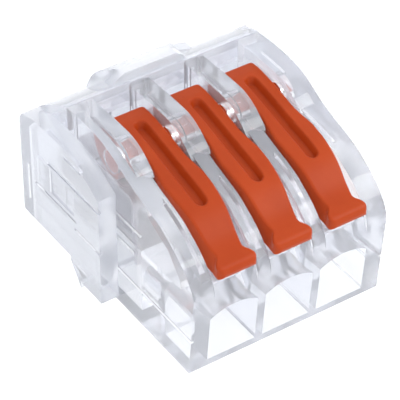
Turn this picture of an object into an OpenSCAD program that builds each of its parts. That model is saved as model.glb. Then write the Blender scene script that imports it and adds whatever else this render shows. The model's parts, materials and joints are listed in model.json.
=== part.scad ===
// Three-pole lever wire connector: clear two-shell housing, three levers, three cage clamps
// and one bus bar. X is the width, -Y is the wire-entry side, +Z is up. Millimetres.

/* [Housing] */
// Distance between two neighbouring poles
pitch = 5; // [4.9:0.05:5.2]
// Clear width of each pole's channel round the conductor
channel_w = 4.35; // [4.2:0.05:4.4]
// Clear width of each pole's channel round the lever
lever_slot_w = 3.8; // [3.7:0.05:3.85]
// Clear width of each pole's channel between the lever's bearings
bearing_slot_w = 3.25; // [3.2:0.05:3.35]
// Width over the side walls of the front housing
front_w = 17.5; // [17.2:0.1:17.8]
// Thickness of the floor under the wire entries
floor_t = 0.65; // [0.6:0.05:0.8]

/* [Rear cap] */
// Width over the side walls of the rear cap
cap_w = 20.8; // [20.4:0.1:21.2]
// Gap between the rear cap and the front housing
shell_gap = 0.08; // [0.04:0.01:0.12]
// Thickness of the rear wall
rear_t = 1.5; // [1.2:0.1:1.6]
// Reach of the raised crown to the left of the middle
crown_left = 4.55; // [4.3:0.05:4.7]
// Reach of the crown's flat top to the right of the middle
crown_right = 1.2; // [0.8:0.1:1.6]

/* [Wire entry] */
// Radius of the round guide that the conductor passes through
guide_r = 1.7; // [1.5:0.05:1.75]
// Height of the guide's axis above the underside
guide_z = 3.1; // [3.05:0.05:3.2]
// Length of the guide
guide_len = 2; // [1.6:0.1:2.2]

/* [Levers] */
// Greatest width of the lever, in the middle of its arm
lever_w = 3.55; // [3.3:0.05:3.6]
// Width of the lever's neck, just behind the flared tip
neck_w = 2.25; // [2.1:0.05:2.5]
// Width of the stem's lower half, which stays wide up to the tip
foot_w = 3.25; // [3:0.05:3.3]
// Width of the flared tip
tip_w = 3.45; // [3.3:0.05:3.5]
// Width of the lever's rear end
heel_w = 2.9; // [2.7:0.05:3.1]
// Radius of the trunnions
trunnion_r = 0.95; // [0.85:0.05:1]
// Radial play of the trunnions in their sockets
trunnion_play = 0.05; // [0.03:0.01:0.08]
// Width of the groove in the lever's top
groove_w = 1.05; // [0.9:0.05:1.3]
// Depth of the groove in the lever's top
groove_depth = 0.6; // [0.4:0.05:0.6]

/* [Clamps] */
// Thickness of the spring strip
strip_t = 0.3; // [0.25:0.05:0.3]
// Width of the spring strip where it forms the cage
cage_w = 3.7; // [3.5:0.05:3.75]
// Thickness of the bus bar
bar_t = 0.8; // [0.7:0.05:0.8]
// Width of the bus bar's tongue in each pole
tongue_w = 2.3; // [2.1:0.05:2.4]

/* [Hidden] */

POLES = [-pitch, 0, pitch];
STEPS = 8;          // segments in one curved stretch of an outline
E = 0.01;           // overlap that joins two solids, and overrun of a cut
ROUND = 48;         // $fn of a full circle

CLEAR = [0.86, 0.88, 0.94, 0.45];
ORANGE = [0.80, 0.33, 0.16];
STEEL = [0.66, 0.66, 0.69];
COPPER = [0.78, 0.74, 0.68];

// Overall extent
front_y = -10.6;    // front face at the underside
lip_y = -11.3;      // front lip, the foremost line
rear_y = 11.3;
lip_z = 7.4;
tip_y = -11.7;      // foremost point of the closed levers
origin_y = -(tip_y + rear_y) / 2;   // moves the middle of the length to Y = 0

// Lever axis, cam and travel
axis_y = 0.4;
axis_z = 12.7;
lever_travel = 105;
cage_travel = 20;
cam_offset = 0.85;
cam_y = axis_y + cam_offset * cos(lever_travel / 2);
cam_z = axis_z + cam_offset * sin(lever_travel / 2);
cam_gap = 0.09;      // between the cam and the spring's arm
hub_r = 1.1;

// Bus bar and springs
bar_z = 4.8;                      // underside of the tongues
seat_z = bar_z + bar_t + 0.02;    // underside of the spring's fixed leg
bend_y = 5.6;                     // centre of the spring's bend
seat_bend_r = 2.35;               // outer radius of the fixed half of the bend
cage_bend_r = seat_bend_r + 0.05 + strip_t;
bend_z = seat_z + seat_bend_r;
cage_y = -2.2;                    // front face of the cage's window leg
arm_z = bend_z + cage_bend_r;     // top of the spring's arm
cam_r = cam_z - arm_z - cam_gap;

wall_in = pitch + channel_w / 2;  // inner face of the side walls
wall_out = front_w / 2;
cap_out = cap_w / 2;
cap_in = wall_out + shell_gap;
slot_in = pitch + lever_slot_w / 2;   // inner face of the side walls beside the levers
rib_t = pitch - channel_w;
upper_rib_t = pitch - lever_slot_w;
bearing_in = pitch + bearing_slot_w / 2;  // inner face of the side walls at the bearings
bearing_rib_t = pitch - bearing_slot_w;

// ---- Outline helpers -------------------------------------------------------------------

function bezier(a, b, c, d, n = STEPS) = [
    for (i = [1:n]) let (t = i / n, s = 1 - t)
        s * s * s * a + 3 * s * s * t * b + 3 * s * t * t * c + t * t * t * d
];

function raised(points, dz) = [for (p = points) [p[0], p[1] + dz]];

function reversed(points) = [for (i = [len(points) - 1:-1:0]) points[i]];

// The arched top line that the walls, the ribs and the closed levers share
function arch_nose() = bezier([lip_y, lip_z], [-11.25, 8.6], [-10, 10.1], [-8, 11.15]);
function arch_slope() = bezier([-8, 11.15], [-6.8, 12], [-4.9, 12.2], [-3.2, 12.85]);
function arch_shoulder() = bezier([-3.2, 12.85], [-1.5, 13.5], [0.2, 14.6], [2.5, 14.6]);
function arch_crest() = bezier([2.5, 14.6], [3.7, 14.65], [4.9, 14.6], [step_y, 14.42]);

// Top line of the closed lever from its heel to its tip. It is straighter than the arch.
function lever_top() = concat(
    [[3.15, 13.65]],
    bezier([3.15, 13.65], [3.1, 13.95], [2.8, 14.03], [2.3, 14], 5),
    bezier([2.3, 14], [0.3, 13.88], [-2, 13.3], [-4, 12.93]),
    bezier([-4, 12.93], [-6.6, 12.45], [-7.5, 12.15], [-8.7, 11.1]),
    bezier([-8.7, 11.1], [-9.4, 10.45], [-10.2, 10.1], [-11.2, 9.9])
);

// Underside of the lever from the tip to the hub
function lever_under() = concat(
    [[-10.2, 8.8]],
    bezier([-10.2, 8.8], [-9.2, 8.8], [-8.8, 9.5], [-7.6, 10.4]),
    bezier([-7.6, 10.4], [-6, 11.5], [-4, 12], [-2.4, 12.4])
);

// Deck of the front housing, a little below the closed lever's underside
function deck_top() = concat(
    [[-9.9, 8.5]],
    bezier([-9.9, 8.5], [-9.1, 8.6], [-8.6, 9.3], [-7.5, 10.1]),
    bezier([-7.5, 10.1], [-6.4, 10.8], [-5.4, 11.2], [-4.3, 11.45])
);

// Extrudes an outline drawn as [y, z] points from x0 to x1
module across(x0, x1) {
    translate([x0, 0, 0]) rotate([90, 0, 90]) linear_extrude(x1 - x0) children();
}

// Extrudes an outline drawn as [x, z] points from y0 to y1
module along(y0, y1) {
    translate([0, y1, 0]) rotate([90, 0, 0]) linear_extrude(y1 - y0) children();
}

// A cylinder along X between x0 and x1 at [y, z]
module rod_x(y, z, r, x0, x1) {
    translate([x0, y, z]) rotate([0, 90, 0]) cylinder(h = x1 - x0, r = r, $fn = ROUND);
}

module box(x0, x1, y0, y1, z0, z1) {
    translate([x0, y0, z0]) cube([x1 - x0, y1 - y0, z1 - z0]);
}

// ---- Front housing ---------------------------------------------------------------------

shell_rear_y = 9.6;     // rear edge of the front housing's walls, inside the cap
step_y = 5.85;          // where the walls step down under the cap's roof
floor_end_y = 1.8;      // the cap's floor starts behind this
guide_rear_y = -3.4;
socket_reach = slot_in - pitch + 0.55;  // depth that the trunnion sockets reach to
groove_line = 0.25;     // width and depth of the guide grooves
funnel_y = guide_rear_y - guide_len;
mouth_y = -6.6;         // end of the rectangular mouth
mouth_top = 5.6;
upper_z = 6.6;          // the ribs are thicker above this, beside the levers
crest_w = 0.8;          // width of the bearing's crest on top of each side wall

lug_y = 4.6;
lug_len = 3.9;
lug_z = 5.4;
lug_h = 3.1;
lug_depth = 0.5;

module wall_outline() {
    polygon(concat(
        [[front_y, 0], [-10.95, 3.6], [lip_y, lip_z]],
        arch_nose(), arch_slope(), arch_shoulder(), arch_crest(),
        [
            [step_y, 12.2], [8.6, 11.7], [shell_rear_y, 10.4], [shell_rear_y, 1.05],
            [floor_end_y, 1.05], [floor_end_y, 0]
        ]
    ));
}

// Nose between the walls: entry block below, deck above, hollow between them
module nose_outline() {
    polygon(concat(
        [[front_y, 0], [-10.95, 3.6], [lip_y + 0.05, lip_z - 0.3], [lip_y + 0.4, 8.35]],
        deck_top(),
        [[-4.3, 10.5], [-7, 9.2], [-8.6, 7.3], [-8.6, upper_z], [guide_rear_y, upper_z],
         [guide_rear_y, 0]]
    ));
}

// The rectangular mouth with its arched roof, the funnel and the round guide
module wire_passage() {
    roof_r = 3.9;
    half = channel_w / 2 - 0.02;
    intersection() {
        box(-half, half, lip_y - 1, mouth_y, floor_t, mouth_top);
        translate([0, mouth_y, mouth_top - roof_r]) rotate([90, 0, 0])
            cylinder(h = mouth_y - lip_y + 1, r = roof_r, $fn = 96);
    }
    translate([0, mouth_y - E, guide_z]) rotate([-90, 0, 0])
        cylinder(h = funnel_y - mouth_y + 2 * E, r1 = half, r2 = guide_r, $fn = ROUND);
    translate([0, funnel_y - E, guide_z]) rotate([-90, 0, 0])
        cylinder(h = guide_len + 1, r = guide_r, $fn = ROUND);
}

// Thicker part of the walls and ribs that carries the trunnions and guards the heels
module bearing_outline() {
    polygon(concat(
        [[-3, 12.75]],
        bezier([-3, 12.9], [-2.2, 13.5], [-1.2, 14.7], [0.6, 14.7]),
        [[2.5, 14.7], [step_y - 0.3, 14.55], [step_y - 0.3, 11], [-0.8, 11], [-2.2, 12]]
    ));
}

// Raised wedge on each side that snaps into a pocket inside the cap
module snap_lug() {
    translate([0, 0, lug_z]) linear_extrude(lug_h) polygon([
        [wall_out - 0.2, lug_y], [wall_out, lug_y], [wall_out + lug_depth, lug_y + 2.6],
        [wall_out + lug_depth, lug_y + lug_len], [wall_out - 0.2, lug_y + lug_len]
    ]);
}

module front_housing() color(CLEAR) difference() {
    union() {
        for (side = [-1, 1]) {
            across(side > 0 ? wall_in : -wall_out, side > 0 ? wall_out : -wall_in)
                wall_outline();
            across(side * pitch / 2 - rib_t / 2, side * pitch / 2 + rib_t / 2)
                wall_outline();
            intersection() {
                union() {
                    across(side * pitch / 2 - upper_rib_t / 2, side * pitch / 2 + upper_rib_t / 2)
                        wall_outline();
                    across(side > 0 ? slot_in : -wall_out, side > 0 ? wall_out : -slot_in)
                        wall_outline();
                }
                box(-cap_w, cap_w, lip_y - 1, step_y, upper_z, 20);
            }
            across(side * pitch / 2 - bearing_rib_t / 2, side * pitch / 2 + bearing_rib_t / 2)
                bearing_outline();
            across(side > 0 ? bearing_in : -wall_in - crest_w,
                   side > 0 ? wall_in + crest_w : -bearing_in) bearing_outline();
            mirror([side > 0 ? 0 : 1, 0, 0]) snap_lug();
        }
        across(-wall_in - E, wall_in + E) nose_outline();
        box(-wall_in - E, wall_in + E, guide_rear_y - E, floor_end_y, 0, floor_t);
    }
    for (x = POLES) translate([x, 0, 0]) {
        wire_passage();
        rod_x(axis_y, axis_z, trunnion_r + trunnion_play,
              -socket_reach, socket_reach);
    }
    // Slot through the ribs that the bus bar slides into from the rear
    box(-wall_in, wall_in, 3, shell_rear_y + 1, bar_z - 0.05, seat_z + strip_t + 0.1);
    // Moulded guide grooves along the outer faces: start, end, height
    for (side = [-1, 1], g = [[lip_y - 1, shell_rear_y, 3.25], [-3.3, shell_rear_y, 6.45],
                              [-4.2, 7.2, 8.75], [2.2, 5.2, 10.7]])
        mirror([side > 0 ? 0 : 1, 0, 0])
            box(wall_out - groove_line, wall_out + 0.4, g[0], g[1], g[2], g[2] + groove_line);
}

// ---- Rear cap --------------------------------------------------------------------------

collar_y = -1;          // front edge of the cap's side walls
collar_rear_y = 2;      // the floor starts here
collar_z = 0.6;         // underside of the collar
chamfer_z = 2.3;        // height of the bottom side chamfers
roof_y = 5.95;          // front edge of the roof
roof_t = 0.9;           // thickness of the roof and of its front wall
roof_z = 14.45;         // top of the roof's front edge
corner_r = 1.2;         // radius of the rear vertical edges
crown_z = 15.25;        // top of the crown
crown_front = roof_y + 0.25;
panel_depth = 0.12;     // depth of the grip panels in the side faces

module cap_side_outline() {
    polygon(concat(
        [[collar_y, collar_z], [1.8, collar_z], [collar_rear_y, 0.8], [collar_rear_y, 0],
         [10.9, 0], [rear_y, 0.5], [rear_y, 6]],
        bezier([rear_y, 6], [rear_y, 8.2], [10.9, 11.2], [9.9, 12.05]),
        bezier([9.9, 12.05], [8.4, 12.5], [7, 12.62], [5, 12.6]),
        bezier([5, 12.6], [3.2, 12.6], [2.2, 12.4], [1.2, 11.9]),
        [[collar_y, 10.75]]
    ));
}

module cap_plan_outline() {
    for (side = [-1, 1]) translate([side * (cap_out - corner_r), rear_y - corner_r])
        circle(r = corner_r, $fn = ROUND);
    translate([-cap_out, collar_y]) square([cap_w, rear_y - corner_r - collar_y]);
    translate([corner_r - cap_out, collar_y]) square([cap_w - 2 * corner_r, rear_y - collar_y]);
}

// Cross-section of the cap behind its collar, with the bottom side edges chamfered
module cap_cross_outline() {
    polygon([
        [-cap_in, 0], [-cap_out, chamfer_z], [-cap_out, 20],
        [cap_out, 20], [cap_out, chamfer_z], [cap_in, 0]
    ]);
}

// Roof over the rear of the poles, higher than the side walls
module cap_roof() {
    across(-cap_in - E, cap_in + E) polygon(concat(
        [[roof_y, 12], [roof_y, roof_z]],
        bezier([roof_y, roof_z], [7, 14.2], [8.9, 12.9], [10, 12]),
        [[10.6, 10.6], [9, 10.6]]
    ));
    intersection() {
        along(roof_y, 10.6) polygon([
            [-crown_left, 11], [-crown_left, 14.3], [0.4 - crown_left, 14.8],
            [1.2 - crown_left, crown_z], [crown_right, crown_z], [crown_right + 0.8, 14.8],
            [crown_right + 1.5, 13.7], [4.4, 13], [4.4, 11]
        ]);
        across(-cap_in, cap_in) polygon(concat(
            [[crown_front, 12.45], [crown_front, crown_z]],
            bezier([crown_front, crown_z], [8, crown_z], [9.2, 14.3], [10.3, 11.4])
        ));
    }
}

module rear_cap() color(CLEAR) difference() {
    union() {
        intersection() {
            across(-cap_out, cap_out) cap_side_outline();
            linear_extrude(20) cap_plan_outline();
            union() {
                along(collar_rear_y, rear_y) cap_cross_outline();
                across(-cap_out, cap_out) polygon([
                    [collar_y, 0], [collar_rear_y, 0], [3.4, 1.9], [3.4, 20], [collar_y, 20]
                ]);
            }
        }
        cap_roof();
    }
    // Room for the front housing, open at the front and over the levers
    across(-cap_in, cap_in) polygon([
        [collar_y - 1, -1], [collar_rear_y, -1], [collar_rear_y, 0.95],
        [rear_y - rear_t, 0.95], [rear_y - rear_t, 10.6], [8.7, 11.85], [8, 12.55],
        [roof_y + roof_t, 13.3], [roof_y + roof_t, 12.35], [roof_y, 12.35], [roof_y, 20],
        [collar_y - 1, 20]
    ]);
    // Pockets inside the side walls for the snap lugs
    for (side = [-1, 1]) mirror([side > 0 ? 0 : 1, 0, 0])
        box(cap_in - 0.1, cap_in + lug_depth, lug_y - 0.1, lug_y + lug_len + 0.1,
            lug_z - 0.1, lug_z + lug_h + 0.1);
    // Moulded lines along the side faces (front end, rear end, height) and a grip panel
    for (side = [-1, 1]) mirror([side > 0 ? 0 : 1, 0, 0]) {
        for (g = [[collar_y - 1, 6.4, 9.4], [1.4, 3.8, 11.6], [2.4, 8.5, 6.2],
                  [collar_y - 1, 2.6, 5.4]])
            box(cap_out - groove_line, cap_out + 1, g[0], g[1], g[2], g[2] + groove_line);
        box(cap_out - panel_depth, cap_out + 1, 2.7, 6.1, 6.8, 9.1);
    }
    // Shallow panel in the rear face
    box(-7.2, 7.2, rear_y - 0.25, rear_y + 1, 2.2, 5.8);
}

// ---- Levers ----------------------------------------------------------------------------

groove_front_y = -6.5;  // centres of the groove's round ends
groove_rear_y = 1.3;
foot_rear_y = -5;       // rear end of the stem's wide lower half
foot_drop = 0.45;       // depth of its shoulders below the lever's top

module lever_outline() {
    polygon(concat(
        lever_top(),
        bezier([-11.2, 9.9], [-11.6, 9.8], [tip_y, 9.4], [tip_y, 8.8], 5),
        lever_under(),
        [[-1.2, 12.6], [2.4, 12.95], [3.05, 13.25]]
    ));
}

// Plan of the lever: wide rear part, tapering stem, flared tip with round corners
module lever_plan() {
    half = lever_w / 2;
    neck = neck_w / 2;
    tip = tip_w / 2;
    heel = heel_w / 2;
    right = concat(
        [[heel - 0.6, 3.3]],
        bezier([heel - 0.6, 3.3], [heel - 0.2, 3.3], [heel, 3.05], [heel, 2.5], 5),
        bezier([heel, -1.8], [heel, -2.8], [half - 0.15, -3.3], [half, -4.4]),
        bezier([half, -5.6], [half - 0.1, -7.4], [neck + 0.38, -8.7], [neck, -10.1]),
        bezier([neck, -10.1], [neck - 0.1, -10.6], [tip, -10.7], [tip, -11.2], 5),
        bezier([tip, -11.2], [tip, -11.5], [tip - 0.1, -11.7], [tip - 0.4, tip_y - 0.1], 5)
    );
    polygon(concat(right, reversed([for (p = right) [-p[0], p[1]]])));
}

// Lower half of the stem, wider than the tapering top above it
module stem_foot() {
    intersection() {
        across(-foot_w / 2, foot_w / 2) lever_outline();
        across(-foot_w, foot_w) polygon(concat(
            [[foot_rear_y, 8]],
            raised(
                [for (p = lever_top()) if (p[0] > -11 && p[0] < foot_rear_y) p], -foot_drop
            ),
            [[-11.1, 9.4], [-11.1, 8]]
        ));
    }
}

module groove() {
    intersection() {
        translate([0, 0, 5]) linear_extrude(20) {
            for (y = [groove_rear_y, groove_front_y])
                translate([0, y]) circle(r = groove_w / 2, $fn = ROUND);
            translate([-groove_w / 2, groove_front_y])
                square([groove_w, groove_rear_y - groove_front_y]);
        }
        across(-groove_w, groove_w) polygon(concat(
            [[2.9, 20], [2.9, 14]],
            raised([for (p = lever_top()) if (p[0] > -8 && p[0] < 2.8) p], -groove_depth),
            [[-8, 11.2], [-8, 20]]
        ));
    }
}

module lever() {
    difference() {
        union() {
            intersection() {
                across(-tip_w, tip_w) lever_outline();
                translate([0, 0, 5]) linear_extrude(20) lever_plan();
            }
            stem_foot();
            rod_x(axis_y, axis_z, hub_r, -heel_w / 2, heel_w / 2);
            // Cam: the part of a larger, offset cylinder that lies below the lever's top
            intersection() {
                rod_x(cam_y, cam_z, cam_r, -heel_w / 2, heel_w / 2);
                across(-heel_w, heel_w) polygon([
                    [cam_y - 0.2, 8], [8, 8], [8, 13], [2.8, 13.4], [0.4, 13.4], [0, 12.3]
                ]);
            }
            rod_x(axis_y, axis_z, trunnion_r, 0.08 - socket_reach, socket_reach - 0.08);
        }
        groove();
    }
}

module lever_1() color(ORANGE) translate([POLES[0], 0, 0]) lever();
module lever_2() color(ORANGE) translate([POLES[1], 0, 0]) lever();
module lever_3() color(ORANGE) translate([POLES[2], 0, 0]) lever();

// ---- Bus bar and cage clamps -----------------------------------------------------------

bar_front_y = 3.1;
bar_rear_y = 5.3;
tongue_front_y = -2.9;

module busbar() color(COPPER) {
    difference() {
        union() {
            box(-wall_in + 0.3, wall_in - 0.3, bar_front_y, bar_rear_y, bar_z, bar_z + bar_t);
            for (x = POLES)
                box(x - tongue_w / 2, x + tongue_w / 2, tongue_front_y, bar_front_y + E,
                    bar_z, bar_z + bar_t);
        }
        // Bevelled leading edge of each tongue
        across(-wall_in, wall_in) polygon([
            [tongue_front_y - E, bar_z - E], [tongue_front_y + 0.4, bar_z - E],
            [tongue_front_y - E, bar_z + 0.4]
        ]);
    }
}

// Quarter-to-half ring of strip about the bend's centre, from angle a0 to a1 in the YZ plane
module bend(outer_r, width, a0, a1) {
    translate([-width / 2, bend_y, bend_z]) rotate([90, 0, 90]) rotate([0, 0, a0])
        linear_extrude(width) difference() {
            intersection() {
                circle(r = outer_r, $fn = 96);
                polygon(concat([[0, 0]], [for (i = [0:6]) let (a = (a1 - a0) * i / 6)
                    2 * outer_r * [cos(a), sin(a)]]));
            }
            circle(r = outer_r - strip_t, $fn = 96);
        }
}

// Fixed leg of the spring: it lies on the tongue and turns up into the bend
module clamp_seat() {
    box(-tongue_w / 2, tongue_w / 2, tongue_front_y + 0.2, bend_y + E,
        seat_z, seat_z + strip_t);
    bend(seat_bend_r, tongue_w, -90, 20);
}

// Moving leg of the spring: the bend's upper half, the arm and the cage with its window
module clamp_cage() {
    knee_r = 0.8;
    window_w = tongue_w + 0.5;
    arm_w = 2.8;
    bend(cage_bend_r, arm_w, -25, 90);
    box(-arm_w / 2, arm_w / 2, cage_y + knee_r, bend_y + E, arm_z - strip_t, arm_z);
    difference() {
        union() {
            box(-cage_w / 2, cage_w / 2, cage_y + knee_r, cage_y + 2.2,
                arm_z - strip_t, arm_z);
            box(-cage_w / 2, cage_w / 2, cage_y, cage_y + strip_t,
                bar_z - 0.7, arm_z - knee_r);
            difference() {
                rod_x(cage_y + knee_r, arm_z - knee_r, knee_r, -cage_w / 2, cage_w / 2);
                rod_x(cage_y + knee_r, arm_z - knee_r, knee_r - strip_t, -cage_w, cage_w);
                box(-cage_w, cage_w, cage_y + knee_r, bend_y, 0, arm_z + 1);
                box(-cage_w, cage_w, cage_y - 1, bend_y, 0, arm_z - knee_r);
            }
        }
        box(-window_w / 2, window_w / 2, cage_y - 1, cage_y + 1, bar_z - 0.15, 9.5);
    }
}

module clamp_1_seat() color(STEEL) translate([POLES[0], 0, 0]) clamp_seat();
module clamp_2_seat() color(STEEL) translate([POLES[1], 0, 0]) clamp_seat();
module clamp_3_seat() color(STEEL) translate([POLES[2], 0, 0]) clamp_seat();
module clamp_1_cage() color(STEEL) translate([POLES[0], 0, 0]) clamp_cage();
module clamp_2_cage() color(STEEL) translate([POLES[1], 0, 0]) clamp_cage();
module clamp_3_cage() color(STEEL) translate([POLES[2], 0, 0]) clamp_cage();

// Puts the middle of the closed connector's length at Y = 0
module placed() {
    translate([0, origin_y, 0]) children();
}

placed() front_housing();
placed() rear_cap();
placed() busbar();
placed() lever_1();
placed() lever_2();
placed() lever_3();
placed() clamp_1_seat();
placed() clamp_2_seat();
placed() clamp_3_seat();
placed() clamp_1_cage();
placed() clamp_2_cage();
placed() clamp_3_cage();
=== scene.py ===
"""Looks of the lever wire connector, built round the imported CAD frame."""

import json
import math

import bmesh
import bpy
from mathutils import Matrix, Vector

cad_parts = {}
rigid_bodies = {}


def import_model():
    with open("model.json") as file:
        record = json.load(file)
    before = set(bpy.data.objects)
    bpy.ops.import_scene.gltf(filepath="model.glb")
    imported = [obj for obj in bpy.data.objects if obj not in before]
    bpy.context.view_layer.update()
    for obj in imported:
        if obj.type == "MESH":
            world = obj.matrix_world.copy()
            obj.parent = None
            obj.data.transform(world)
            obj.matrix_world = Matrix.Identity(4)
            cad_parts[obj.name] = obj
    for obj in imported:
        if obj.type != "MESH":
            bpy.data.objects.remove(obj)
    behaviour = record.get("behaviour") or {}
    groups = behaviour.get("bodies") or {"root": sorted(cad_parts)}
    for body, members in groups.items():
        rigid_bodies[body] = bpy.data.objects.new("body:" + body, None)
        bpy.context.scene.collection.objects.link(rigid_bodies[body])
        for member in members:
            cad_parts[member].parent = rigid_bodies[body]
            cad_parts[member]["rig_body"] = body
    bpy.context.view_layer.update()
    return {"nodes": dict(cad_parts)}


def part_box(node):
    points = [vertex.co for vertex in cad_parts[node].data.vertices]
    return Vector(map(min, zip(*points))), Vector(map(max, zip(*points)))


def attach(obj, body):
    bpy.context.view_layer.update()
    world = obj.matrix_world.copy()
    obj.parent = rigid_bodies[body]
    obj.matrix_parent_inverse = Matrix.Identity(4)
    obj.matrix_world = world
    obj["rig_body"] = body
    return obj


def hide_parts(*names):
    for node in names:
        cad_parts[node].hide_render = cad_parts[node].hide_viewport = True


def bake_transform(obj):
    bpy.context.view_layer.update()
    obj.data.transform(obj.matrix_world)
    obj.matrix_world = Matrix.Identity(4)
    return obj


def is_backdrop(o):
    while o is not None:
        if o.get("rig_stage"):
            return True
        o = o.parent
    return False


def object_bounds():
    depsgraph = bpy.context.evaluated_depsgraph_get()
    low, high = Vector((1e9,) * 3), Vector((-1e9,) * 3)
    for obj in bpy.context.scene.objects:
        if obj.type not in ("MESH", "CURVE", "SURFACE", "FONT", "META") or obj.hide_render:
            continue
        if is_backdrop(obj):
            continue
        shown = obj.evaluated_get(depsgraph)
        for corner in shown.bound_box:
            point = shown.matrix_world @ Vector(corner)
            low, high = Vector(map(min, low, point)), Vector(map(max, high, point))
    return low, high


MM = 0.001
# Millimetres within which points are one: on the CAD, a shell and a lever
CAD_WELD, SHELL_WELD, LEVER_WELD = 0.002, 0.001, 0.0005
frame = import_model()
nodes = frame["nodes"]
scene = bpy.context.scene


# ---- Materials ---------------------------------------------------------------------------


class Graph:
    """A material's node tree with short calls for adding nodes and links."""

    def __init__(self, name):
        self.material = bpy.data.materials.new(name)
        self.material.use_nodes = True
        self.tree = self.material.node_tree
        self.tree.nodes.clear()
        self.shader = self.add("ShaderNodeBsdfPrincipled")
        self.output = self.add("ShaderNodeOutputMaterial")
        self.link(self.shader, "BSDF", self.output, "Surface")
        self.coords = self.add("ShaderNodeTexCoord")

    def add(self, kind, inputs=None, **settings):
        made = self.tree.nodes.new(kind)
        for key, value in settings.items():
            setattr(made, key, value)
        for key, value in (inputs or {}).items():
            made.inputs[key].default_value = value
        return made

    def link(self, source, out, target, into):
        self.tree.links.new(source.outputs[out], target.inputs[into])

    def noise(self, scale, detail=2.0, stretch=(1, 1, 1), roughness=0.5):
        """Noise in object space; scale is in features per millimetre."""
        mapping = self.add("ShaderNodeMapping")
        mapping.inputs["Scale"].default_value = [s * 1000 for s in stretch]
        self.link(self.coords, "Object", mapping, "Vector")
        made = self.add(
            "ShaderNodeTexNoise", {"Scale": scale, "Detail": detail, "Roughness": roughness}
        )
        self.link(mapping, "Vector", made, "Vector")
        return made

    def ramp(self, source, out, stops):
        made = self.add("ShaderNodeValToRGB")
        elements = made.color_ramp.elements
        while len(elements) < len(stops):
            elements.new(0.5)
        for element, (position, colour) in zip(elements, stops):
            element.position = position
            element.color = colour
        self.link(source, out, made, "Fac")
        return made

    def spread(self, source, out, low, high):
        """The 0 to 1 output mapped to low to high."""
        made = self.add("ShaderNodeMapRange", {"To Min": low, "To Max": high})
        self.link(source, out, made, "Value")
        return made

    def bump(self, source, out, distance, strength=1.0, after=None):
        made = self.add("ShaderNodeBump", {"Strength": strength, "Distance": distance})
        self.link(source, out, made, "Height")
        if after is not None:
            self.link(after, "Normal", made, "Normal")
        return made


def clear_plastic(name, milkiness):
    g = Graph(name)
    s = g.shader
    s.inputs["Base Color"].default_value = (0.978, 0.983, 1.0, 1)
    s.inputs["Transmission Weight"].default_value = 1.0
    s.inputs["IOR"].default_value = 1.5
    flow = g.noise(0.18, 2.0)
    fine = g.noise(1.6, 3.0)
    rough = g.spread(fine, "Fac", 0.06, 0.15)
    g.link(rough, "Result", s, "Roughness")
    waves = g.bump(flow, "Fac", 0.00006, 0.25)
    grain = g.bump(fine, "Fac", 0.000006, 0.5, after=waves)
    g.link(grain, "Normal", s, "Normal")
    # A little of the light scatters in the plastic
    milk = g.add("ShaderNodeBsdfDiffuse", {"Color": (0.80, 0.815, 0.855, 1)})
    g.link(grain, "Normal", milk, "Normal")
    body = g.add("ShaderNodeMixShader", {"Fac": milkiness})
    g.link(s, "BSDF", body, 1)
    g.link(milk, "BSDF", body, 2)
    # Lamps shine through the plastic instead of leaving hard shadows behind it
    through = g.add("ShaderNodeBsdfTransparent", {"Color": (0.93, 0.94, 0.97, 1)})
    mix = g.add("ShaderNodeMixShader")
    g.link(g.add("ShaderNodeLightPath"), "Is Shadow Ray", mix, "Fac")
    g.link(body, "Shader", mix, 1)
    g.link(through, "BSDF", mix, 2)
    g.link(mix, "Shader", g.output, "Surface")
    return g.material


def lever_plastic(name):
    g = Graph(name)
    s = g.shader
    cloud = g.noise(0.35, 3.0)
    grain = g.noise(9.0, 4.0)
    colour = g.ramp(
        cloud, "Fac", [(0.3, (0.36, 0.042, 0.006, 1)), (0.7, (0.40, 0.050, 0.008, 1))]
    )
    g.link(colour, "Color", s, "Base Color")
    g.link(g.spread(grain, "Fac", 0.34, 0.5), "Result", s, "Roughness")
    s.inputs["Specular IOR Level"].default_value = 0.15
    s.inputs["Subsurface Weight"].default_value = 0.1
    s.inputs["Subsurface Radius"].default_value = (0.0006, 0.0002, 0.0001)
    s.inputs["Subsurface Scale"].default_value = 1.0
    g.link(g.bump(grain, "Fac", 0.00001, 0.6), "Normal", s, "Normal")
    return g.material


def strip_metal(name, colour, rough_low, rough_high, along):
    g = Graph(name)
    s = g.shader
    s.inputs["Metallic"].default_value = 1.0
    lines = g.noise(6.0, 3.0, stretch=along)
    tone = g.ramp(
        lines, "Fac", [(0.35, [c * 0.7 for c in colour] + [1]), (0.6, [*colour, 1])]
    )
    g.link(tone, "Color", s, "Base Color")
    g.link(g.spread(lines, "Fac", rough_low, rough_high), "Result", s, "Roughness")
    g.link(g.bump(lines, "Fac", 0.000008, 0.5), "Normal", s, "Normal")
    return g.material


CLEAR = clear_plastic("clear_plastic", 0.17)
CLOUDIER = clear_plastic("clear_plastic_cap", 0.26)
ORANGE = lever_plastic("lever_plastic")
STEEL = strip_metal("spring_steel", (0.56, 0.53, 0.55), 0.2, 0.4, (1, 0.08, 0.08))
TIN = strip_metal("tinned_copper", (0.6, 0.56, 0.5), 0.3, 0.5, (0.3, 0.3, 0.3))


# ---- Pieces ------------------------------------------------------------------------------


def millimetre_mesh(node):
    """The CAD node's surface as a bmesh in millimetres, welded and without flat seams."""
    bm = bmesh.new()
    bm.from_mesh(nodes[node].data)
    bmesh.ops.scale(bm, vec=(1 / MM, 1 / MM, 1 / MM), verts=bm.verts)
    bmesh.ops.remove_doubles(bm, verts=bm.verts, dist=CAD_WELD)
    bmesh.ops.dissolve_limit(
        bm, angle_limit=math.radians(0.6), verts=bm.verts, edges=bm.edges
    )
    return bm


def shown(bm, name, material):
    """Turns a bmesh into an object with the material; the size stays as it is."""
    mesh = bpy.data.meshes.new(name)
    bm.to_mesh(mesh)
    bm.free()
    mesh.materials.append(material)
    obj = bpy.data.objects.new(name, mesh)
    scene.collection.objects.link(obj)
    return obj


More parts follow.
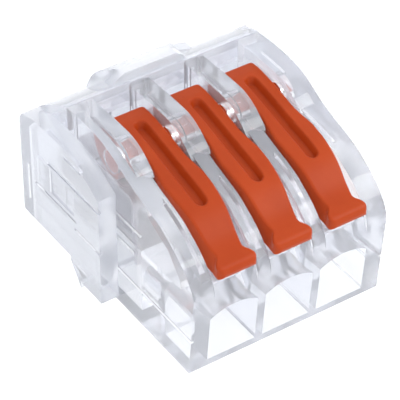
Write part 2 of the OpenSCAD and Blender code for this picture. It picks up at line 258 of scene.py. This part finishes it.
def applied(obj, *modifiers):
    """Replaces the mesh with the result of the modifiers in turn."""
    for kind, settings in modifiers:
        modifier = obj.modifiers.new(kind.lower(), kind)
        for key, value in settings.items():
            setattr(modifier, key, value)
    graph = bpy.context.evaluated_depsgraph_get()
    made = bpy.data.meshes.new_from_object(obj.evaluated_get(graph))
    obj.modifiers.clear()
    old, obj.data = obj.data, made
    bpy.data.meshes.remove(old)
    obj.data.name = obj.name


def rounding(width, angle):
    """A modifier that rounds the edges sharper than the angle, in degrees."""
    settings = {
        "width": width,
        "segments": 2,
        "limit_method": "ANGLE",
        "angle_limit": math.radians(angle),
    }
    return "BEVEL", settings


def soft_shading(weight):
    return "WEIGHTED_NORMAL", {"keep_sharp": False, "weight": weight}


def in_metres(obj):
    obj.data.transform(Matrix.Scale(MM, 4))
    return obj


def shade_smooth(bm):
    for face in bm.faces:
        face.smooth = True


def softened(node, name, material, width):
    """A replacement for a CAD node with its edges rounded."""
    bm = millimetre_mesh(node)
    shade_smooth(bm)
    obj = shown(bm, name, material)
    weld = ("WELD", {"merge_threshold": SHELL_WELD})
    applied(obj, rounding(width, 30), weld, soft_shading(80))
    in_metres(obj)
    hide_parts(node)
    return obj


body_of = {n: o["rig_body"] for n, o in nodes.items()}

for node, plastic in (("front_housing", CLEAR), ("rear_cap", CLOUDIER)):
    piece = softened(node, node + "_shell", plastic, 0.12)
    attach(piece, body_of[node])


# ---- Levers ------------------------------------------------------------------------------


def bezier(a, b, c, d, count=16):
    """Points of a cubic curve after its start."""
    a, b, c, d = Vector(a), Vector(b), Vector(c), Vector(d)
    points = []
    for i in range(1, count + 1):
        t = i / count
        s = 1 - t
        points.append(s**3 * a + 3 * s * s * t * b + 3 * s * t * t * c + t**3 * d)
    return points


def along(points, y):
    """Height of a polyline of (y, height) points at y."""
    points = sorted(points, key=lambda p: p[0])
    for low_point, high_point in zip(points, points[1:]):
        if y <= high_point[0]:
            span = high_point[0] - low_point[0]
            share = 0 if span == 0 else max(0, (y - low_point[0]) / span)
            return low_point[1] + share * (high_point[1] - low_point[1])
    return points[-1][1]


def smooth(t):
    t = min(1, max(0, t))
    return t * t * (3 - 2 * t)


def rounded_ring(corners, radii, counts, arc=4):
    """Points round a convex four-sided section whose corners are rounded."""
    ring = []
    number = len(corners)
    tangents = []
    for i, corner in enumerate(corners):
        back = (corners[i - 1] - corner).normalized()
        on = (corners[(i + 1) % number] - corner).normalized()
        half = math.acos(max(-1, min(1, back.dot(on)))) / 2
        reach = radii[i] / math.tan(half)
        centre = corner + (back + on).normalized() * (radii[i] / math.sin(half))
        tangents.append((corner + back * reach, corner + on * reach, centre, radii[i]))
    for i, (enter, leave, centre, radius) in enumerate(tangents):
        for k in range(arc + 1):
            spoke = (enter - centre).lerp(leave - centre, k / arc).normalized()
            ring.append(centre + spoke * radius)
        following = tangents[(i + 1) % number][0]
        for k in range(1, counts[i]):
            ring.append(leave.lerp(following, k / counts[i]))
    return ring


# The lever's outlines, as (y, height) and (y, half width) in millimetres
LEVER_TOP = (
    [Vector((3.58, 14.12)), Vector((2.5, 14.14))]
    + bezier((2.5, 14.14), (0.5, 13.99), (-1.8, 13.33), (-3.8, 12.93))
    + bezier((-3.8, 12.93), (-6.4, 12.45), (-7.3, 12.15), (-8.5, 11.1))
    + bezier((-8.5, 11.1), (-9.2, 10.45), (-10.0, 10.1), (-11.5, 9.82))
)
LEVER_UNDER = (
    [Vector((-11.5, 8.8)), Vector((-10, 8.8))]
    + bezier((-10, 8.8), (-9.0, 8.8), (-8.6, 9.45), (-7.4, 10.36))
    + bezier((-7.4, 10.36), (-5.8, 11.45), (-3.8, 11.95), (-2.2, 12.35))
    + [Vector((-1, 12.6)), Vector((2.6, 12.95)), Vector((3.58, 13.12))]
)
LEVER_TOP_HALF = (
    [Vector((3.58, 1.46)), Vector((-1.6, 1.46))]
    + bezier((-1.6, 1.45), (-2.6, 1.45), (-3.1, 1.62), (-4.2, 1.77))
    + bezier((-5.2, 1.77), (-6.6, 1.6), (-8.6, 1.46), (-9.9, 1.14))
    + bezier((-9.9, 1.14), (-10.4, 1.02), (-10.5, 1.6), (-11.0, 1.68))
    + [Vector((-11.5, 1.7))]
)
LEVER_UNDER_HALF = (
    [Vector((3.58, 1.46)), Vector((-1.6, 1.46))]
    + bezier((-1.6, 1.45), (-2.6, 1.45), (-3.1, 1.62), (-4.2, 1.74))
    + [Vector((-9.9, 1.62)), Vector((-11.0, 1.7)), Vector((-11.5, 1.7))]
)
GROOVE_FRONT, GROOVE_REAR = -6.3, 1.5   # centres of the groove's round ends
GROOVE_HALF, GROOVE_DEPTH, GROOVE_WALL = 0.58, 0.6, 0.3
NOSE_ROUND, HEEL_ROUND = 0.5, 0.25      # rounding of the lever's two ends
EDGE_ROUND = 0.2
TOP_STEPS = 36                          # mesh columns across the lever's top
HEEL_ROWS, ARM_ROWS, NOSE_ROWS = 7, 132, 8
# The hub is the CAD lever below and behind two planes, as (point, normal)
HUB_PLANES = (((0, -1, 12.9), (0, -0.1, 1)), ((0, -1, 12.93), (0, -1, 0)))


def end_inset(y):
    """How far the section shrinks near the lever's rounded ends."""
    inset = 0
    for distance, radius in (
        (y - LEVER_UNDER[0][0], NOSE_ROUND),
        (LEVER_TOP[0][0] - y, HEEL_ROUND),
    ):
        if distance < radius:
            drop = radius - distance
            inset = max(inset, radius - math.sqrt(radius**2 - drop**2))
    return inset


def heel_corner(y):
    """Extra narrowing that rounds the heel's corners in plan."""
    start, radius = 3.2, 0.38
    if y < start:
        return 0
    return radius - math.sqrt(radius**2 - min(radius, y - start) ** 2)


def groove_drop(x, y):
    nearest = min(GROOVE_REAR, max(GROOVE_FRONT, y))
    distance = math.hypot(x, y - nearest)
    return GROOVE_DEPTH * smooth((GROOVE_HALF - distance) / GROOVE_WALL)


def lever_arm(name):
    """The lever's arm as rings of points from the heel to the tip, about x = 0."""
    rear, front = LEVER_TOP[0][0], LEVER_UNDER[0][0]
    stations = [
        rear - HEEL_ROUND * (1 - math.cos(i * math.pi / (2 * HEEL_ROWS)))
        for i in range(HEEL_ROWS)
    ]
    stations += [
        rear - HEEL_ROUND + (front + NOSE_ROUND - rear + HEEL_ROUND) * i / ARM_ROWS
        for i in range(ARM_ROWS + 1)
    ]
    stations += [
        front + NOSE_ROUND * math.cos(i * math.pi / (2 * NOSE_ROWS))
        for i in range(1, NOSE_ROWS + 1)
    ]
    stations[-1] = front
    bm = bmesh.new()
    rings = []
    for y in stations:
        inset = end_inset(y)
        top = along(LEVER_TOP, y) - inset
        under = along(LEVER_UNDER, y) + inset
        a = along(LEVER_TOP_HALF, y) - inset - heel_corner(y)
        b = along(LEVER_UNDER_HALF, y) - inset - heel_corner(y)
        edge = min(EDGE_ROUND, (top - under) * 0.35)
        corners = [Vector(c) for c in ((-a, top), (a, top), (b, under), (-b, under))]
        ring = rounded_ring(corners, [edge, edge, edge / 2, edge / 2], [TOP_STEPS, 5, 8, 5])
        rings.append([bm.verts.new((x, y, z - groove_drop(x, y) * (z > top - 0.01)))
                      for x, z in ring])
    for one, two in zip(rings, rings[1:]):
        for i in range(len(one)):
            bm.faces.new((one[i - 1], one[i], two[i], two[i - 1]))
    bm.faces.new(rings[0])
    bm.faces.new(reversed(rings[-1]))
    bmesh.ops.recalc_face_normals(bm, faces=bm.faces)
    shade_smooth(bm)
    return shown(bm, name, ORANGE)


def cut(bm, point, normal):
    """Removes what lies on the normal's side of a plane and closes the cut."""
    made = bmesh.ops.bisect_plane(
        bm,
        geom=bm.verts[:] + bm.edges[:] + bm.faces[:],
        plane_co=point,
        plane_no=normal,
        clear_outer=True,
    )
    edges = [e for e in made["geom_cut"] if isinstance(e, bmesh.types.BMEdge)]
    bmesh.ops.triangle_fill(bm, edges=edges, use_beauty=True, use_dissolve=True)


def lever_hub(name):
    """The hub, cam and trunnions below the arm, from the middle CAD lever."""
    bm = millimetre_mesh("lever_2")
    for point, normal in HUB_PLANES:
        cut(bm, point, normal)
    shade_smooth(bm)
    return shown(bm, name, ORANGE)


def lever_mesh():
    """One lever about x = 0, in millimetres."""
    arm = lever_arm("lever_arm")
    hub = lever_hub("lever_hub")
    applied(hub, rounding(0.1, 30))
    applied(arm, ("BOOLEAN", {"operation": "UNION", "solver": "MANIFOLD", "object": hub}))
    bpy.data.objects.remove(hub)
    bm = bmesh.new()
    bm.from_mesh(arm.data)
    bmesh.ops.remove_doubles(bm, verts=bm.verts, dist=LEVER_WELD)
    bm.to_mesh(arm.data)
    bm.free()
    arm.data.validate()
    applied(arm, soft_shading(60))
    mesh = arm.data
    bpy.data.objects.remove(arm)
    return mesh


LEVER_MESH = lever_mesh()
for n in (1, 2, 3):
    node = f"lever_{n}"
    low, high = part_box(node)
    mesh = LEVER_MESH.copy()
    mesh.transform(Matrix.Translation(((low[0] + high[0]) / 2 / MM, 0, 0)))
    mesh.transform(Matrix.Scale(MM, 4))
    piece = bpy.data.objects.new(node + "_moulding", mesh)
    scene.collection.objects.link(piece)
    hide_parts(node)
    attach(piece, body_of[node])


# ---- Metal parts -------------------------------------------------------------------------

STRIP_T = 0.3                 # thickness of the spring strip
SEAT_Z, ARM_Z = 5.77, 10.52   # mid-height of the strip's fixed leg and of its arm
BEND_Y, BEND_Z = 5.8, 7.97    # centre of the strip's bend
SEAT_FRONT_Y, ARM_JOIN_Y = -2.5, 3.6
SEAT_W, ARM_W = 2.3, 2.8
STAMPED_LINES = (-0.9, -0.2, 0.6, 1.35, 2.1, 2.85)
STAMP_HALF, STAMP_DEPTH = 0.14, 0.09


def strip_path():
    """The spring's fixed leg, bend and rear arm as (y, z, width) points."""
    path = []
    for i in range(21):
        y = SEAT_FRONT_Y + (BEND_Y - SEAT_FRONT_Y) * i / 20
        nose = 0.35 * smooth(1 - i / 1.2)
        path.append((y, SEAT_Z, SEAT_W - nose))
    turns = 36
    for i in range(1, turns):
        share = i / turns
        angle = math.radians(-90 + 180 * share)
        radius = BEND_Z - SEAT_Z + (ARM_Z - BEND_Z - BEND_Z + SEAT_Z) * smooth(share)
        path.append(
            (
                BEND_Y + radius * math.cos(angle),
                BEND_Z + radius * math.sin(angle),
                SEAT_W + (ARM_W - SEAT_W) * smooth(share),
            )
        )
    for i in range(9):
        path.append((BEND_Y + (ARM_JOIN_Y - BEND_Y) * i / 8, ARM_Z, ARM_W))
    return path


def strip_mesh(name, centre_x):
    """A bent strip with softened edges along the path."""
    path = strip_path()
    edge = 0.05
    bm = bmesh.new()
    rings = []
    for i, (y, z, width) in enumerate(path):
        before = path[max(0, i - 1)]
        after = path[min(len(path) - 1, i + 1)]
        tangent = Vector((0, after[0] - before[0], after[1] - before[1])).normalized()
        normal = tangent.cross(Vector((1, 0, 0)))
        middle = Vector((centre_x, y, z))
        a, b = width / 2, STRIP_T / 2
        section = [
            (-a, -b + edge), (-a + edge, -b), (a - edge, -b), (a, -b + edge),
            (a, b - edge), (a - edge, b), (-a + edge, b), (-a, b - edge),
        ]
        rings.append(
            [bm.verts.new(middle + Vector((u, 0, 0)) + normal * v) for u, v in section]
        )
    for one, two in zip(rings, rings[1:]):
        for i in range(len(one)):
            face = bm.faces.new((one[i - 1], one[i], two[i], two[i - 1]))
            face.smooth = True
    bm.faces.new(rings[0])
    bm.faces.new(reversed(rings[-1]))
    bmesh.ops.recalc_face_normals(bm, faces=bm.faces)
    obj = shown(bm, name, STEEL)
    applied(obj, soft_shading(80))
    return in_metres(obj)


def stamp_lines(bm):
    """Presses shallow stiffening lines across the arm."""
    for y in STAMPED_LINES:
        for step in (-STAMP_HALF, 0, STAMP_HALF):
            bmesh.ops.bisect_plane(
                bm,
                geom=bm.verts[:] + bm.edges[:] + bm.faces[:],
                plane_co=(0, y + step, 0),
                plane_no=(0, 1, 0),
            )
        for v in bm.verts:
            if abs(v.co.y - y) < 0.01 and v.co.z > ARM_Z - STRIP_T:
                v.co.z -= STAMP_DEPTH


def cage_mesh(name, node):
    """The cage and the front of its arm, with rounded edges."""
    bm = millimetre_mesh(node)
    cut(bm, (0, ARM_JOIN_Y, 0), (0, 1, 0))
    stamp_lines(bm)
    shade_smooth(bm)
    obj = shown(bm, name, STEEL)
    applied(obj, rounding(0.05, 50))
    applied(obj, soft_shading(80))
    return in_metres(obj)


for n in (1, 2, 3):
    seat, cage = f"clamp_{n}_seat", f"clamp_{n}_cage"
    low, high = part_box(cage)
    centre_x = (low[0] + high[0]) / 2
    spring = strip_mesh(f"clamp_{n}_spring", centre_x / MM)
    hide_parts(seat)
    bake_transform(spring)
    window = cage_mesh(f"clamp_{n}_window", cage)
    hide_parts(cage)
    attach(window, body_of[cage])

bar = softened("busbar", "busbar_bar", TIN, 0.08)
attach(bar, body_of["busbar"])


# ---- Stage -------------------------------------------------------------------------------

FLOOR_HALF = 1.2
FLOOR_GAP = 0.00002           # keeps the floor clear of the underside
floor_mesh = bpy.data.meshes.new("floor")
floor_mesh.from_pydata(
    [(x * FLOOR_HALF, y * FLOOR_HALF, 0) for x, y in ((-1, -1), (1, -1), (1, 1), (-1, 1))],
    [],
    [(0, 1, 2, 3)],
)
floor = bpy.data.objects.new("floor", floor_mesh)
floor.location.z = -FLOOR_GAP
scene.collection.objects.link(floor)
g = Graph("floor_paper")
g.shader.inputs["Base Color"].default_value = (0.12, 0.12, 0.12, 1)
g.shader.inputs["Roughness"].default_value = 0.9
g.shader.inputs["Emission Color"].default_value = (0.98, 0.99, 1.0, 1)
g.shader.inputs["Emission Strength"].default_value = 1.04
floor.data.materials.append(g.material)
floor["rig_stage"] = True

world = bpy.data.worlds.new("studio")
scene.world = world
world.use_nodes = True
background = world.node_tree.nodes["Background"]
background.inputs["Color"].default_value = (0.97, 0.975, 1.0, 1)
background.inputs["Strength"].default_value = 1.12


def area_light(name, location, size, watts, aim=(0, 0, 0.006)):
    data = bpy.data.lights.new(name, "AREA")
    data.shape = "RECTANGLE"
    data.size, data.size_y = size
    data.energy = watts
    obj = bpy.data.objects.new(name, data)
    obj.location = location
    obj.rotation_euler = (
        (Vector(aim) - Vector(location)).to_track_quat("-Z", "Y").to_euler()
    )
    scene.collection.objects.link(obj)


area_light("key", (0.15, -0.12, 0.16), (0.12, 0.12), 0.26)
area_light("fill", (-0.16, -0.14, 0.08), (0.16, 0.1), 0.05)

# The camera looks down on the connector's front and left side
AZIMUTH, ELEVATION = math.radians(-33.92), math.radians(39.57)
DISTANCE, LENS = 0.18051, 209.66
TARGET = Vector((0, 0.00057, 0.006))
SHIFT_X, SHIFT_Y = -4.1 / 400, -8.2 / 400
back = Vector(
    (
        math.sin(AZIMUTH) * math.cos(ELEVATION),
        -math.cos(AZIMUTH) * math.cos(ELEVATION),
        math.sin(ELEVATION),
    )
)
camera_data = bpy.data.cameras.new("camera")
camera_data.lens = LENS
camera_data.sensor_width = 36
camera_data.shift_x, camera_data.shift_y = SHIFT_X, SHIFT_Y
camera_data.clip_start, camera_data.clip_end = 0.01, 10
camera = bpy.data.objects.new("camera", camera_data)
camera.location = TARGET + back * DISTANCE
camera.rotation_euler = (-back).to_track_quat("-Z", "Y").to_euler()
scene.collection.objects.link(camera)
scene.camera = camera

BOUNCES = 24                  # enough for light to pass all the clear walls
scene.view_settings.view_transform = "Standard"
scene.cycles.max_bounces = BOUNCES
scene.cycles.transmission_bounces = BOUNCES
scene.cycles.transparent_max_bounces = BOUNCES

low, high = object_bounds()
